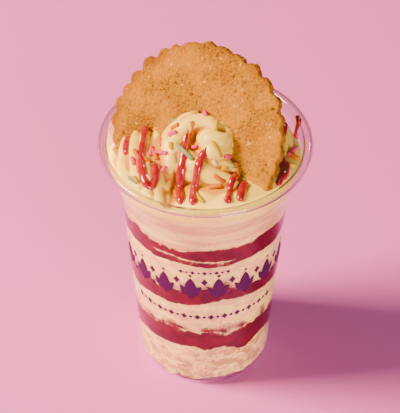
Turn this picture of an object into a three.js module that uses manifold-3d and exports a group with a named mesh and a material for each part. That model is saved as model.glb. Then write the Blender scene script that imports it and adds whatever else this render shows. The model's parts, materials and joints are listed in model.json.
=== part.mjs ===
// A layered cream sundae in a clear tumbler, with a round crimped biscuit pushed into its piped top.
// Millimetres, +Z up. The origin is on the table, on the tumbler's axis, and -Y is the front.
import * as THREE from "three";
import { mergeVertices } from "three/addons/utils/BufferGeometryUtils.js";
import Module from "manifold-3d";

const wasm = await Module();
wasm.setup();

// ---- driving dimensions --------------------------------------------------------------------
const CUP_HEIGHT = 129;
const WALL = 0.7; // plastic
const GAP = 0.3; // clearance between neighbouring pieces
const CUP_SIDES = 40; // round the tumbler

const BODY_RADIUS = 29.95; // the wall's taper, carried down to the table
const BODY_TAPER = 0.0745; // radius gained for each millimetre of height
const FLARE = { from: 98, to: 124, out: 4.2 }; // the wider collar under the lip
const FOOT = { inner: 26, outer: 28.3, corner: 5, panel: 3.4, panelRadius: 24.4 };
const LIP = { centre: 45.35, width: 2.15, height: 2.0 }; // half sizes of the roll

const BISCUIT = {
  radius: 40.2,
  thick: 3.8,
  tooth: { out: 0.8, deep: 1.6, pitch: 10.4 }, // beyond the radius, down to a notch, degrees apart
  edge: 0.7, // rounding of the two edges
  centre: [-4.05, -7.2, CUP_HEIGHT + 7], // middle of its front face
  turned: 30.6, // degrees that it faces left of the front
  leant: 39.6, // degrees that it leans back from upright
};

// ---- small helpers ------------------------------------------------------------------------
const degrees = THREE.MathUtils.degToRad;
const smoothstep = (from, to, x) => THREE.MathUtils.smoothstep(x, from, to);
const seededRandom = (seed) => () => {
  seed = (seed * 1664525 + 1013904223) % 4294967296;
  return seed / 4294967296;
};

// Closed geometry to a solid: shared vertices merged, collapsed faces dropped, faces pointing out.
function solidOf(geometry) {
  const bare = new THREE.BufferGeometry();
  bare.setAttribute("position", geometry.getAttribute("position").clone());
  bare.setIndex(geometry.index);
  const merged = mergeVertices(bare, 1e-3);
  const position = merged.getAttribute("position");
  const faces = [];
  for (let i = 0; i < merged.index.count; i += 3) {
    const [a, b, c] = [0, 1, 2].map((k) => merged.index.getX(i + k));
    if (a !== b && b !== c && c !== a) faces.push(a, b, c);
  }
  const [a, b, c] = [new THREE.Vector3(), new THREE.Vector3(), new THREE.Vector3()];
  let volume = 0;
  for (let i = 0; i < faces.length; i += 3) {
    a.fromBufferAttribute(position, faces[i]);
    b.fromBufferAttribute(position, faces[i + 1]);
    c.fromBufferAttribute(position, faces[i + 2]);
    volume += a.dot(b.cross(c));
  }
  if (volume < 0) faces.reverse();
  const vertProperties = new Float32Array(position.array);
  return new wasm.Manifold(new wasm.Mesh({ numProp: 3, vertProperties, triVerts: new Uint32Array(faces) }));
}

function geometryOf(solid) {
  const { vertProperties, triVerts } = solid.getMesh();
  const geometry = new THREE.BufferGeometry();
  geometry.setAttribute("position", new THREE.BufferAttribute(vertProperties, 3));
  geometry.setIndex(new THREE.BufferAttribute(triVerts, 1));
  geometry.computeVertexNormals();
  return geometry;
}

const largestPiece = (solid) => solid.decompose().sort((a, b) => b.volume() - a.volume())[0];

// A profile of [radius, height] pairs, turned about the tumbler's axis.
function revolve(profile, sides = CUP_SIDES) {
  const points = profile.map(([radius, height]) => new THREE.Vector2(radius, height));
  return solidOf(new THREE.LatheGeometry(points, sides).rotateX(Math.PI / 2));
}

// A closed skin over a stack of rings that all have the same number of points, with flat ends.
// Each four-cornered patch is split along its shorter diagonal, so neighbours split alike.
function loft(rings) {
  const sides = rings[0].length;
  const middleOf = (ring) => ring.reduce((sum, p) => sum.add(p), new THREE.Vector3()).divideScalar(sides);
  const points = [...rings.flat(), middleOf(rings[0]), middleOf(rings.at(-1))];
  const [first, last] = [points.length - 2, points.length - 1];
  const end = (rings.length - 1) * sides;
  const faces = [];
  for (let side = 0; side < sides; side++) {
    const next = (side + 1) % sides;
    faces.push(first, next, side, last, end + side, end + next);
    for (let low = 0; low < end; low += sides) {
      const [a, b, c, d] = [low + side, low + next, low + sides + next, low + sides + side];
      const split = points[a].distanceTo(points[c]) < points[b].distanceTo(points[d]);
      faces.push(...(split ? [a, b, c, a, c, d] : [a, b, d, b, c, d]));
    }
  }
  return solidOf(new THREE.BufferGeometry().setFromPoints(points).setIndex(faces));
}

// ---- the tumbler ----------------------------------------------------------------------------
const outerRadius = (z) =>
  BODY_RADIUS + BODY_TAPER * z + FLARE.out * smoothstep(FLARE.from, FLARE.to, z);
const fillRadius = (z) => outerRadius(z) - WALL - GAP;

function arc(centre, half, fromDegrees, toDegrees, steps) {
  return Array.from({ length: steps + 1 }, (_, i) => {
    const angle = degrees(fromDegrees + ((toDegrees - fromDegrees) * i) / steps);
    return [centre[0] + half[0] * Math.cos(angle), centre[1] + half[1] * Math.sin(angle)];
  });
}

const WALL_HEIGHTS = [98, 105, 111, 117, 123];

function tumbler() {
  const cornerRadius = outerRadius(FOOT.corner);
  const corner = (inward) =>
    arc(
      [FOOT.outer - 0.7, FOOT.corner],
      [cornerRadius - FOOT.outer + 0.7 - inward, FOOT.corner - inward],
      -60,
      0,
      2,
    );
  const roll = [LIP.centre, CUP_HEIGHT - LIP.height];
  const outside = [
    [0, FOOT.panel],
    [FOOT.panelRadius, FOOT.panel],
    [FOOT.inner, 0],
    [FOOT.outer - 0.7, 0],
    ...corner(0),
    ...WALL_HEIGHTS.map((z) => [outerRadius(z), z]),
    [LIP.centre - LIP.width + WALL, CUP_HEIGHT - LIP.height - 0.6],
    ...arc(roll, [LIP.width - WALL, LIP.height - WALL], 165, -50, 4),
  ];
  const inside = [
    ...arc(roll, [LIP.width, LIP.height], -50, 180, 6),
    ...WALL_HEIGHTS.toReversed().map((z) => [outerRadius(z) - WALL, z]),
    ...corner(WALL).reverse(),
    [FOOT.inner + 0.5, WALL],
    [FOOT.panelRadius + 0.2, FOOT.panel + WALL],
    [0, FOOT.panel + WALL],
  ];
  return revolve([...outside, ...inside]);
}

// ---- the layers -----------------------------------------------------------------------------
// Each edge has a level at the wall, slow waves round it, and bumps { at, high, wide } whose
// places and widths are in degrees to the right of the front. Towards the axis it lies flat.
const LAYER_SIDES = 36;
const LAYER_RINGS = [0.55, 1]; // shares of the radius
const EDGES = {
  lowUnder: {
    level: 27.4,
    bumps: [
      { at: 1, high: -2.8, wide: 6 },
      { at: 37, high: -4.6, wide: 13 },
      { at: 84, high: -6, wide: 18 },
      { at: -88, high: -8, wide: 16 },
    ],
  },
  lowOver: {
    level: 38.4,
    bumps: [
      { at: -24, high: 3, wide: 15 },
      { at: 20, high: -1.8, wide: 9 },
    ],
  },
  middleUnder: {
    level: 57.4,
    bumps: [
      { at: 20, high: 3.4, wide: 26 },
      { at: -64, high: -2, wide: 20 },
    ],
  },
  middleOver: {
    level: 66.6,
    bumps: [{ at: 10, high: 5.2, wide: 19 }],
  },
  topUnder: {
    level: 85.2,
    bumps: [{ at: 40, high: 1, wide: 20 }],
  },
  topOver: {
    level: 95,
    bumps: [
      { at: -55, high: 3, wide: 9 },
      { at: 43, high: 2.4, wide: 12 },
    ],
  },
};
const WAVES = [
  { high: 0.8, turns: 3 },
  { high: 0.45, turns: 7 },
];

// Height of an edge at an angle to the right of the front, at a share of the wall's radius.
function edgeHeight(edge, angle, share) {
  const waves = WAVES.reduce(
    (sum, { high, turns }) => sum + high * Math.sin(turns * angle + edge.level),
    0,
  );
  const bumps = edge.bumps.reduce((sum, { at, high, wide }) => {
    const away = THREE.MathUtils.euclideanModulo(THREE.MathUtils.radToDeg(angle) - at + 180, 360) - 180;
    return sum + high * Math.exp(-((away / wide) ** 2));
  }, 0);
  return edge.level + (waves + bumps) * share ** 2;
}

function edgeRing(edge, share, lift) {
  return Array.from({ length: LAYER_SIDES }, (_, i) => {
    const angle = (2 * Math.PI * i) / LAYER_SIDES;
    const z = edgeHeight(edge, angle, share) + lift;
    const radius = share * fillRadius(z);
    return new THREE.Vector3(radius * Math.sin(angle), -radius * Math.cos(angle), z);
  });
}

// One layer, from the edge under it to the edge over it.
function layer(under, over) {
  const below = LAYER_RINGS.map((share) => edgeRing(under, share, GAP / 2));
  const above = LAYER_RINGS.map((share) => edgeRing(over, share, -GAP / 2));
  return loft([...below, ...above.reverse()]);
}

// The lowest cream rests on the raised panel, and rounds off before it reaches the foot's groove.
function lowestLayer() {
  const floor = FOOT.panel + WALL + GAP;
  const round = [
    { radius: 15, z: floor },
    { radius: 24.6, z: floor },
    { radius: 28, z: floor + 1.6 },
    { radius: fillRadius(floor + 4.6), z: floor + 4.6 },
  ];
  const below = round.map(({ radius, z }) =>
    Array.from({ length: LAYER_SIDES }, (_, i) => {
      const angle = (2 * Math.PI * i) / LAYER_SIDES;
      return new THREE.Vector3(radius * Math.sin(angle), -radius * Math.cos(angle), z);
    }),
  );
  const above = LAYER_RINGS.map((share) => edgeRing(EDGES.lowUnder, share, -GAP / 2));
  return loft([...below, ...above.reverse()]);
}

// ---- the biscuit ----------------------------------------------------------------------------
const biscuitPlace = new THREE.Matrix4();
{
  const [turned, leant] = [degrees(BISCUIT.turned), degrees(BISCUIT.leant)];
  const facing = new THREE.Vector3(
    -Math.sin(turned) * Math.cos(leant),
    -Math.cos(turned) * Math.cos(leant),
    Math.sin(leant),
  );
  const across = new THREE.Vector3(Math.cos(turned), -Math.sin(turned), 0);
  biscuitPlace
    .makeBasis(across, new THREE.Vector3().crossVectors(facing, across), facing)
    .setPosition(...BISCUIT.centre);
}

// The crimped outline as notches and tips in turn, each [degrees from its right side, radius].
// Those that stand free above the cream are as uneven as shown; the rest are regular.
const FREE_TEETH = [
  [36, 39.4], [42, 41.4], [49, 39.3], [55, 41.4], [62, 39.4], [68, 41.6], [75, 38.9], [80, 40.5],
  [86, 39.5], [94, 41.1], [98, 40.3], [102, 42.1], [108, 40.7], [116, 41.8], [122, 40.6], [126, 42.2],
  [130, 40.9], [134, 42.6], [139, 39.8], [145, 43.2], [152, 39.8], [158, 42.2], [163, 40.2],
  [168, 41.8], [172.5, 40.6], [177, 42.3], [183, 40.6], [189, 42.2],
];

function crimpedOutline() {
  const { radius, tooth } = BISCUIT;
  const [last, first] = [FREE_TEETH.at(-1)[0], FREE_TEETH[0][0] + 360];
  const hidden = Math.round((first - last) / tooth.pitch - 0.5);
  const step = (first - last) / (2 * hidden + 1);
  const random = seededRandom(12);
  const corners = [...FREE_TEETH];
  for (let k = 1; k <= 2 * hidden; k++) {
    const out = k % 2 === 0 ? tooth.out * (1 - 0.5 * random()) : tooth.out - tooth.deep * (0.8 + 0.3 * random());
    corners.push([last + k * step, radius + out]);
  }
  return corners.flatMap(([at, here], i) => {
    const [next, there] = i + 1 < corners.length ? corners[i + 1] : [first, corners[0][1]];
    const shoulder = (here + there) / 2 + 0.22 * Math.abs(here - there);
    return [
      { angle: degrees(at), radius: here },
      { angle: degrees((at + next) / 2), radius: shoulder },
    ];
  });
}

function biscuit() {
  const { thick, edge } = BISCUIT;
  const outline = crimpedOutline();
  const levels = [
    [-thick, edge],
    [edge - thick, 0],
    [-edge, 0],
    [0, edge],
  ];
  const rings = levels.map(([z, inset]) =>
    outline.map(({ angle, radius }) =>
      new THREE.Vector3((radius - inset) * Math.cos(angle), (radius - inset) * Math.sin(angle), z).applyMatrix4(
        biscuitPlace,
      ),
    ),
  );
  return loft(rings);
}

// The space that the biscuit takes up in the cream, with its clearance.
function biscuitSlot() {
  const reach = BISCUIT.radius + BISCUIT.tooth.out + 2 * GAP;
  const disc = new THREE.CylinderGeometry(reach, reach, BISCUIT.thick + 2 * GAP, 72);
  disc.rotateX(Math.PI / 2).translate(0, 0, -BISCUIT.thick / 2);
  return solidOf(disc.applyMatrix4(biscuitPlace));
}

// ---- the piped cream ------------------------------------------------------------------------
// Star-nozzle ropes, laid clockwise on a smooth bed. The wide one starts against the wall at the
// front left and runs round the back; the small one climbs forward on the right and rolls up
// against the biscuit into a curl. x and y are from the tumbler's axis, up is from its lip.
const NOZZLE = { depth: 0.27, crest: 0.3 };
const WIDE_ROPE = {
  ridges: 12,
  twist: 0.9,
  start: 0.18,
  steps: 32,
  path: [
    { x: -25, y: -46, up: -18, radius: 14 },
    { x: -25.5, y: -30, up: -13.5, radius: 14 },
    { x: -25, y: -15, up: -11.8, radius: 14.2 },
    { x: -24.5, y: 1, up: -11, radius: 14.2 },
    { x: -21, y: 18, up: -9, radius: 13.5 },
    { x: -5, y: 28, up: -9.5, radius: 13 },
    { x: 14, y: 26, up: -10, radius: 12.5 },
    { x: 27, y: 13, up: -11.5, radius: 12 },
    { x: 28.5, y: -4, up: -14, radius: 11.5 },
    { x: 24, y: -14, up: -18, radius: 9 },
  ],
};
const SMALL_ROPE = {
  ridges: 7,
  twist: 1.2,
  start: 0,
  steps: 32,
  path: [
    { x: 18, y: 14, up: -10, radius: 9 },
    { x: 21, y: 1, up: -9, radius: 9.8 },
    { x: 18, y: -11, up: -7.5, radius: 9.8 },
    { x: 8, y: -19.5, up: -4.5, radius: 9.6 },
    { x: -4.5, y: -18.5, up: -1.5, radius: 9.4 },
    { x: -11.5, y: -9.5, up: 1.5, radius: 9 },
    { x: -6.5, y: -2, up: 6.5, radius: 8.2 },
    { x: 2.5, y: -3.5, up: 9.5, radius: 7 },
    { x: 7, y: -10.5, up: 8.5, radius: 6.4 },
    { x: 3, y: -15, up: 6.5, radius: 6.2 },
    { x: 0, y: -10.5, up: 9, radius: 4.4 },
    { x: 3.5, y: -8, up: 12, radius: 1.4 },
  ],
};

function pipedRope({ ridges, twist, start, steps, path }) {
  const line = new THREE.CatmullRomCurve3(
    path.map(({ x, y, up }) => new THREE.Vector3(x, y, CUP_HEIGHT + up)),
  );
  const girth = new THREE.CatmullRomCurve3(path.map(({ radius }, i) => new THREE.Vector3(i, radius, 0)));
  const upward = new THREE.Vector3(0, 0, 1);
  const star = Array.from({ length: ridges }, (_, i) => [
    { turn: i, reach: 1 - NOZZLE.depth },
    { turn: i + NOZZLE.crest, reach: 1 },
    { turn: i + 1 - NOZZLE.crest, reach: 1 },
  ]).flat();
  const rings = Array.from({ length: steps + 1 }, (_, i) => {
    const t = i / steps;
    const along = line.getTangent(t);
    const side = new THREE.Vector3().crossVectors(along, upward).normalize();
    const over = new THREE.Vector3().crossVectors(side, along);
    const radius = girth.getPoint(t).y;
    return star.map(({ turn, reach }) => {
      const angle = (2 * Math.PI * turn) / ridges + start + twist * t;
      return line
        .getPoint(t)
        .addScaledVector(side, radius * reach * Math.cos(angle))
        .addScaledVector(over, radius * reach * Math.sin(angle));
    });
  });
  return loft(rings);
}

// The bed of cream under the ropes, from the top sauce up. It swells towards the front right,
// and is made a little too wide, for the tumbler's wall to trim.
const BED = { rim: 117.5, middle: 121.5, swell: 11, at: 28, wide: 62 };

function creamBed() {
  const below = [...LAYER_RINGS, 1.08].map((share) => edgeRing(EDGES.topOver, share, GAP / 2));
  const ring = (radius, z, share) =>
    Array.from({ length: LAYER_SIDES }, (_, i) => {
      const angle = (2 * Math.PI * i) / LAYER_SIDES;
      const away = THREE.MathUtils.euclideanModulo((360 * i) / LAYER_SIDES - BED.at + 180, 360) - 180;
      const height = z + share * BED.swell * Math.exp(-((away / BED.wide) ** 2));
      return new THREE.Vector3(radius * Math.sin(angle), -radius * Math.cos(angle), height);
    });
  return loft([
    ...below,
    ring(48, BED.rim - 2, 1),
    ring(39, BED.rim + 1, 1),
    ring(29, BED.middle, 0.7),
    ring(15, BED.middle + 4, 0),
  ]);
}

// ---- sauce ribbons and sprinkles on the cream ------------------------------------------------
const RIBBON = { radius: 1.75, flat: 0.75, sides: 5, spacing: 4 };
const RIBBONS = [
  [[-24, 2], [-25.5, -12], [-23.5, -28]],
  [[-19.5, -10], [-21, -20], [-23.5, -28]],
  [[-34, 0], [-34.5, -8]],
  [[-6, -4], [-8, -18], [-11, -39]],
  [[1, -13], [-1, -26], [-4, -40]],
  [[13, -20], [11, -30], [10, -39]],
  [[19, -26], [17, -32], [16, -38]],
  [[35, 6], [34, -6], [32, -17]],
];
const SPRINKLES = { count: 34, length: [4.5, 7.5], radius: 0.85, sides: 5, seed: 5 };

// Lays a point on the cream: its height and the way the surface faces there.
function surfaceFinder(solid) {
  const mesh = new THREE.Mesh(geometryOf(solid), new THREE.MeshBasicMaterial());
  const caster = new THREE.Raycaster();
  return (x, y) => {
    caster.set(new THREE.Vector3(x, y, CUP_HEIGHT + 60), new THREE.Vector3(0, 0, -1));
    return caster.intersectObject(mesh)[0];
  };
}

const tube = (points, radii, sides, flat = 1) => {
  const line = new THREE.CatmullRomCurve3(points);
  const last = radii.length - 1;
  return loft(
    radii.map((radius, i) => {
      const along = line.getTangent(i / last);
      const side = new THREE.Vector3().crossVectors(along, new THREE.Vector3(0, 0, 1)).normalize();
      const over = new THREE.Vector3().crossVectors(side, along);
      return Array.from({ length: sides }, (_, k) => {
        const angle = (2 * Math.PI * k) / sides;
        return line
          .getPoint(i / last)
          .addScaledVector(side, radius * Math.cos(angle))
          .addScaledVector(over, radius * flat * Math.sin(angle));
      });
    }),
  );
};

function ribbons(surfaceAt) {
  return RIBBONS.map((corners) => {
    const plan = new THREE.CatmullRomCurve3(corners.map(([x, y]) => new THREE.Vector3(x, y, 0)));
    const steps = Math.round(plan.getLength() / RIBBON.spacing);
    const points = plan.getSpacedPoints(steps).map(({ x, y }) => surfaceAt(x, y).point);
    const radii = points.map((_, i) => RIBBON.radius * (i === 0 || i === steps ? 0.55 : 1));
    return tube(points, radii, RIBBON.sides, RIBBON.flat);
  });
}

function sprinkles(surfaceAt) {
  const random = seededRandom(SPRINKLES.seed);
  const face = new THREE.Plane().setFromNormalAndCoplanarPoint(
    new THREE.Vector3().setFromMatrixColumn(biscuitPlace, 2),
    new THREE.Vector3().setFromMatrixPosition(biscuitPlace),
  );
  const rods = [];
  while (rods.length < SPRINKLES.count) {
    const [x, y, turn, size] = [random() * 76 - 38, random() * 56 - 38, random() * Math.PI, random()];
    if (Math.hypot(x, y) > 38) continue;
    const hit = surfaceAt(x, y);
    const away = face.distanceToPoint(hit.point);
    if (away < 2 && away > -BISCUIT.thick - 2) continue;
    const normal = hit.face.normal;
    const along = new THREE.Vector3(Math.cos(turn), Math.sin(turn), 0).projectOnPlane(normal);
    along.setLength(THREE.MathUtils.lerp(...SPRINKLES.length, size) / 2);
    const middle = hit.point.clone().addScaledVector(normal, SPRINKLES.radius * 0.4);
    const ends = [middle.clone().sub(along), middle.clone().add(along)];
    rods.push(tube(ends, [SPRINKLES.radius, SPRINKLES.radius], SPRINKLES.sides));
  }
  return rods;
}

// Everything that fits between the tumbler's walls, carried straight up above its lip.
function mouthSpace() {
  const mouth = LIP.centre - LIP.width - GAP;
  return revolve([
    [0, 90],
    ...[90, ...WALL_HEIGHTS].map((z) => [fillRadius(z), z]),
    [mouth, CUP_HEIGHT - LIP.height],
    [mouth, CUP_HEIGHT + 60],
    [0, CUP_HEIGHT + 60],
  ]);
}

// The inner turns behind the biscuit, which fill the swirl's middle.
const HEART = { middle: [1, 6, CUP_HEIGHT - 13], half: [24, 23, 19] };

function heart() {
  const ball = new THREE.SphereGeometry(1, 24, 12).scale(...HEART.half).translate(...HEART.middle);
  return solidOf(ball);
}

function pipedCream() {
  const cream = wasm.Manifold.union([creamBed(), heart(), pipedRope(WIDE_ROPE), pipedRope(SMALL_ROPE)]).simplify(0.12);
  const surfaceAt = surfaceFinder(cream);
  const whole = wasm.Manifold.union([cream, ...ribbons(surfaceAt), ...sprinkles(surfaceAt)]);
  return largestPiece(whole.intersect(mouthSpace()).subtract(biscuitSlot()).simplify(0.06));
}

// ---- assembly -------------------------------------------------------------------------------
const sundae = new THREE.Group();
const finishes = {
  plastic: { color: 0xf4f2f0, roughness: 0.08, metalness: 0, transparent: true, opacity: 0.3 },
  cream: { color: 0xf6e3c8, roughness: 0.5, metalness: 0 },
  sauce: { color: 0xa81230, roughness: 0.25, metalness: 0 },
  biscuit: { color: 0xdd9d55, roughness: 0.85, metalness: 0 },
};

function add(name, finish, solid) {
  const mesh = new THREE.Mesh(geometryOf(solid), new THREE.MeshStandardMaterial(finishes[finish]));
  mesh.name = name;
  sundae.add(mesh);
}

add("tumbler", "plastic", tumbler());
add("cream_bottom", "cream", lowestLayer());
add("sauce_low", "sauce", layer(EDGES.lowUnder, EDGES.lowOver));
add("cream_low", "cream", layer(EDGES.lowOver, EDGES.middleUnder));
add("sauce_middle", "sauce", layer(EDGES.middleUnder, EDGES.middleOver));
add("cream_middle", "cream", layer(EDGES.middleOver, EDGES.topUnder));
add("sauce_top", "sauce", layer(EDGES.topUnder, EDGES.topOver));
add("piped_cream", "cream", pipedCream());
add("biscuit", "biscuit", biscuit());

export default sundae;
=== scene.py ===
# %% [markdown]
# # A layered cream sundae in a clear tumbler
#
# The real thing is a thin clear tumbler, filled with bands of cream and red sauce. Cream is
# piped on top, ribbons of sauce and sprinkles lie on it, and a round crimped biscuit leans in it.
# The solid model of the part is loaded first, as a frame. Each cell then makes one piece in the
# same place, with the detail and the finish that the solid model leaves out.
# Sizes are written in millimetres and turned into metres where a mesh is made.

# %% Load the frame
import json
import math

import bpy
import numpy as np
from mathutils import Matrix, Vector, noise
from mathutils.bvhtree import BVHTree

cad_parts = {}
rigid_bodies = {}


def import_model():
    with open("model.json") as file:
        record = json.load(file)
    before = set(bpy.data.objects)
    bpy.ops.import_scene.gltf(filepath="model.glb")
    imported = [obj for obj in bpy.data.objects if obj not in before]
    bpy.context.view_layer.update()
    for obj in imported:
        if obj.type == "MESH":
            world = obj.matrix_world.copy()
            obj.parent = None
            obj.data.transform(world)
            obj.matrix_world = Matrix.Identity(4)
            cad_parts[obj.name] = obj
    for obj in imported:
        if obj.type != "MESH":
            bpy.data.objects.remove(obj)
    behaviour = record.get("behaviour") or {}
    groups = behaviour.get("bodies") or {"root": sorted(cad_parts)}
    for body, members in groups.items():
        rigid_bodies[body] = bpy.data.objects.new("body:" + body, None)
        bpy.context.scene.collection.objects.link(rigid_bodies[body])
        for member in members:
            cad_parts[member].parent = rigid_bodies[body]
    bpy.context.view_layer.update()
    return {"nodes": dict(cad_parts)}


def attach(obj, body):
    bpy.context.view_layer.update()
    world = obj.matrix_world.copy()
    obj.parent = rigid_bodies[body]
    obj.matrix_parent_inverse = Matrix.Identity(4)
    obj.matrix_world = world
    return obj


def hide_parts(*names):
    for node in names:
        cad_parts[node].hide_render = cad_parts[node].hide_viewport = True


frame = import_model()
MM = 0.001
print("frame nodes:", sorted(frame["nodes"]))

# %% [markdown]
# ## The camera
#
# The photograph looks down on the cup at about 45 degrees through a long lens. Guessing such a
# view by eye is slow. It was worked out once from the ellipse of the lip and the two sides of the
# cup, and its distance, height and small turns are written here as plain numbers.

# %% Camera
PICTURE = {"wide": 400, "tall": 413, "focal": 2000}  # all in points of the photograph
SENSOR = 36
CAMERA = {"distance": 924.5, "above": 44.81, "look_up": 60,
          "pan": -0.141, "tilt": 1.254, "roll": -0.31}


def turned(a, b, degrees):
    """Two directions turned in their own plane, as a camera is panned or tilted."""
    c, s = math.cos(math.radians(degrees)), math.sin(math.radians(degrees))
    return c * a - s * b, s * a + c * b


above = math.radians(CAMERA["above"])
eye = Vector((0, -CAMERA["distance"] * math.cos(above),
              CAMERA["distance"] * math.sin(above) + CAMERA["look_up"]))
forward = Vector((0, math.cos(above), -math.sin(above)))
right = Vector((1, 0, 0))
upward = right.cross(forward)
right, forward = turned(right, forward, CAMERA["pan"])
upward, forward = turned(upward, forward, CAMERA["tilt"])
right, upward = turned(right, upward, CAMERA["roll"])

lens = bpy.data.cameras.new("camera")
lens.sensor_width = SENSOR
lens.lens = PICTURE["focal"] / PICTURE["tall"] * SENSOR
lens.clip_start = 0.05
camera = bpy.data.objects.new("camera", lens)
camera.matrix_world = Matrix((
    (right.x, upward.x, -forward.x, eye.x * MM),
    (right.y, upward.y, -forward.y, eye.y * MM),
    (right.z, upward.z, -forward.z, eye.z * MM),
    (0, 0, 0, 1),
))
bpy.context.scene.collection.objects.link(camera)
bpy.context.scene.camera = camera
print("camera at", [round(v) for v in eye], "mm, lens", round(lens.lens, 1), "mm")

# %% [markdown]
# ## Small helpers for meshes
#
# Most pieces are skins over rows of points, such as the rings of a turned cup or the rings round
# a rope of cream. One helper joins the rows with faces, and one turns points into an object.

# %% Mesh helpers
def shade_smooth(mesh):
    mesh.polygons.foreach_set("use_smooth", [True] * len(mesh.polygons))


def placed(name, data):
    made = bpy.data.objects.new(name, data)
    bpy.context.scene.collection.objects.link(made)
    return made


def piece(name, points, faces, edges=()):
    """A mesh object from points in millimetres."""
    mesh = bpy.data.meshes.new(name)
    mesh.from_pydata((np.asarray(points, float) * MM).tolist(), list(edges), faces)
    shade_smooth(mesh)
    mesh.update()
    return placed(name, mesh)


def skin(rings):
    """Points and faces of a skin over rings of equal length. A ring of one point is a tip."""
    points, starts, faces = [], [], []
    for ring in rings:
        starts.append(len(points))
        points.extend(ring)
    for low, high, a0, b0 in zip(rings, rings[1:], starts, starts[1:]):
        sides = max(len(low), len(high))
        for i in range(sides):
            j = (i + 1) % sides
            if len(low) == 1:
                faces.append((a0, b0 + j, b0 + i))
            elif len(high) == 1:
                faces.append((a0 + i, a0 + j, b0))
            else:
                faces.append((a0 + i, a0 + j, b0 + j, b0 + i))
    return points, faces


def middle_of(ring):
    return [np.mean(np.asarray(ring, float), axis=0)]


def closed_skin(rings):
    """The same, with its two ends closed by fans."""
    return skin([middle_of(rings[0]), *rings, middle_of(rings[-1])])


def triangles(made):
    return sum(len(p.vertices) - 2 for p in made.data.polygons)


def points_of(mesh):
    points = np.zeros(len(mesh.vertices) * 3)
    mesh.vertices.foreach_get("co", points)
    return points.reshape(-1, 3)


def edges_of(mesh):
    ends = np.zeros(len(mesh.edges) * 2, int)
    mesh.edges.foreach_get("vertices", ends)
    return ends.reshape(-1, 2)


def store(made, name, values):
    """Stores one number on every point of a piece, for its finish to read."""
    made.data.attributes.new(name, "FLOAT", "POINT").data.foreach_set("value", values)


def applied(made):
    """Replaces an object's mesh by its evaluated one and drops its modifiers."""
    bpy.context.view_layer.update()
    evaluated = made.evaluated_get(bpy.context.evaluated_depsgraph_get())
    mesh = bpy.data.meshes.new_from_object(evaluated)
    made.modifiers.clear()
    made.data = mesh
    mesh.name = made.name
    return made


def joined(name, objects):
    """One object from the meshes of several."""
    points, faces = [], []
    for made in objects:
        start = len(points)
        points.extend([tuple(v.co) for v in made.data.vertices])
        faces.extend([tuple(start + v for v in p.vertices) for p in made.data.polygons])
    material = next((m for made in objects for m in made.data.materials if m), None)
    for made in objects:
        bpy.data.objects.remove(made)
    whole = piece(name, np.array(points) / MM, faces)
    if material:
        whole.data.materials.append(material)
    return whole


def melted(made, voxel, rounds):
    """Fuses overlapping skins with a fine remesh and softens them."""
    fuse = made.modifiers.new("fuse", "REMESH")
    fuse.mode, fuse.voxel_size = "VOXEL", voxel * MM
    soften = made.modifiers.new("soften", "SMOOTH")
    soften.factor, soften.iterations = 0.5, rounds
    applied(made)
    shade_smooth(made.data)
    return made


def smoothstep(low, high, x):
    t = np.clip((np.asarray(x, float) - low) / (high - low), 0, 1)
    return t * t * (3 - 2 * t)


def half_turn(degrees):
    """The same direction, from -180 to 180 degrees."""
    return (degrees + 180) % 360 - 180


def bell(away, wide):
    return math.exp(-((away / wide) ** 2))


def turns_of(sides):
    """The angles of equal steps round a circle."""
    return np.radians(np.arange(sides) * 360 / sides)


def at_angle(radius, angle, z):
    """A point of the cup's frame. Angle 0 is the front, and angles grow to the right."""
    return (radius * math.sin(angle), -radius * math.cos(angle), z)


def round_noise(angle, turns, level):
    """Noise that runs round the cup without a seam. More turns make smaller lumps."""
    return noise.noise(Vector((math.cos(angle) * turns, math.sin(angle) * turns, level)))


def flat_noise(x, y, scale, level):
    return noise.noise(Vector((x * scale, y * scale, level)))


def random_numbers(seed):
    """Numbers from 0 to 1 that are the same on every run."""
    while True:
        seed = (seed * 1664525 + 1013904223) % 4294967296
        yield seed / 4294967296


# %% [markdown]
# ## Small helpers for materials
#
# Materials and Geometry Nodes are both trees of nodes, so one class adds and links nodes for both.
# A finish is a Principled shader with a few nodes in front of it. Patterns read Object
# coordinates, which stay fixed on the piece from every view. The helpers keep each recipe short.

# %% Material helpers
class Nodes:
    """A tree of nodes under construction."""

    def __init__(self, tree):
        self.tree = tree

    def put(self, value, socket):
        """Sets a socket to a plain value, or links another node's output to it."""
        if isinstance(value, bpy.types.NodeSocket):
            self.tree.links.new(value, socket)
        else:
            socket.default_value = value

    def add(self, kind, links=(), **settings):
        """Adds a node. links is a list of (socket name or number, value or output)."""
        node = self.tree.nodes.new(kind)
        for key, value in settings.items():
            setattr(node, key, value)
        for socket, value in links:
            self.put(value, node.inputs[socket])
        return node

    def maths(self, operation, a, b=0.0):
        return self.add("ShaderNodeMath", [(0, a), (1, b)], operation=operation).outputs[0]

    def times(self, a, b):
        return self.maths("MULTIPLY", a, b)


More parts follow.
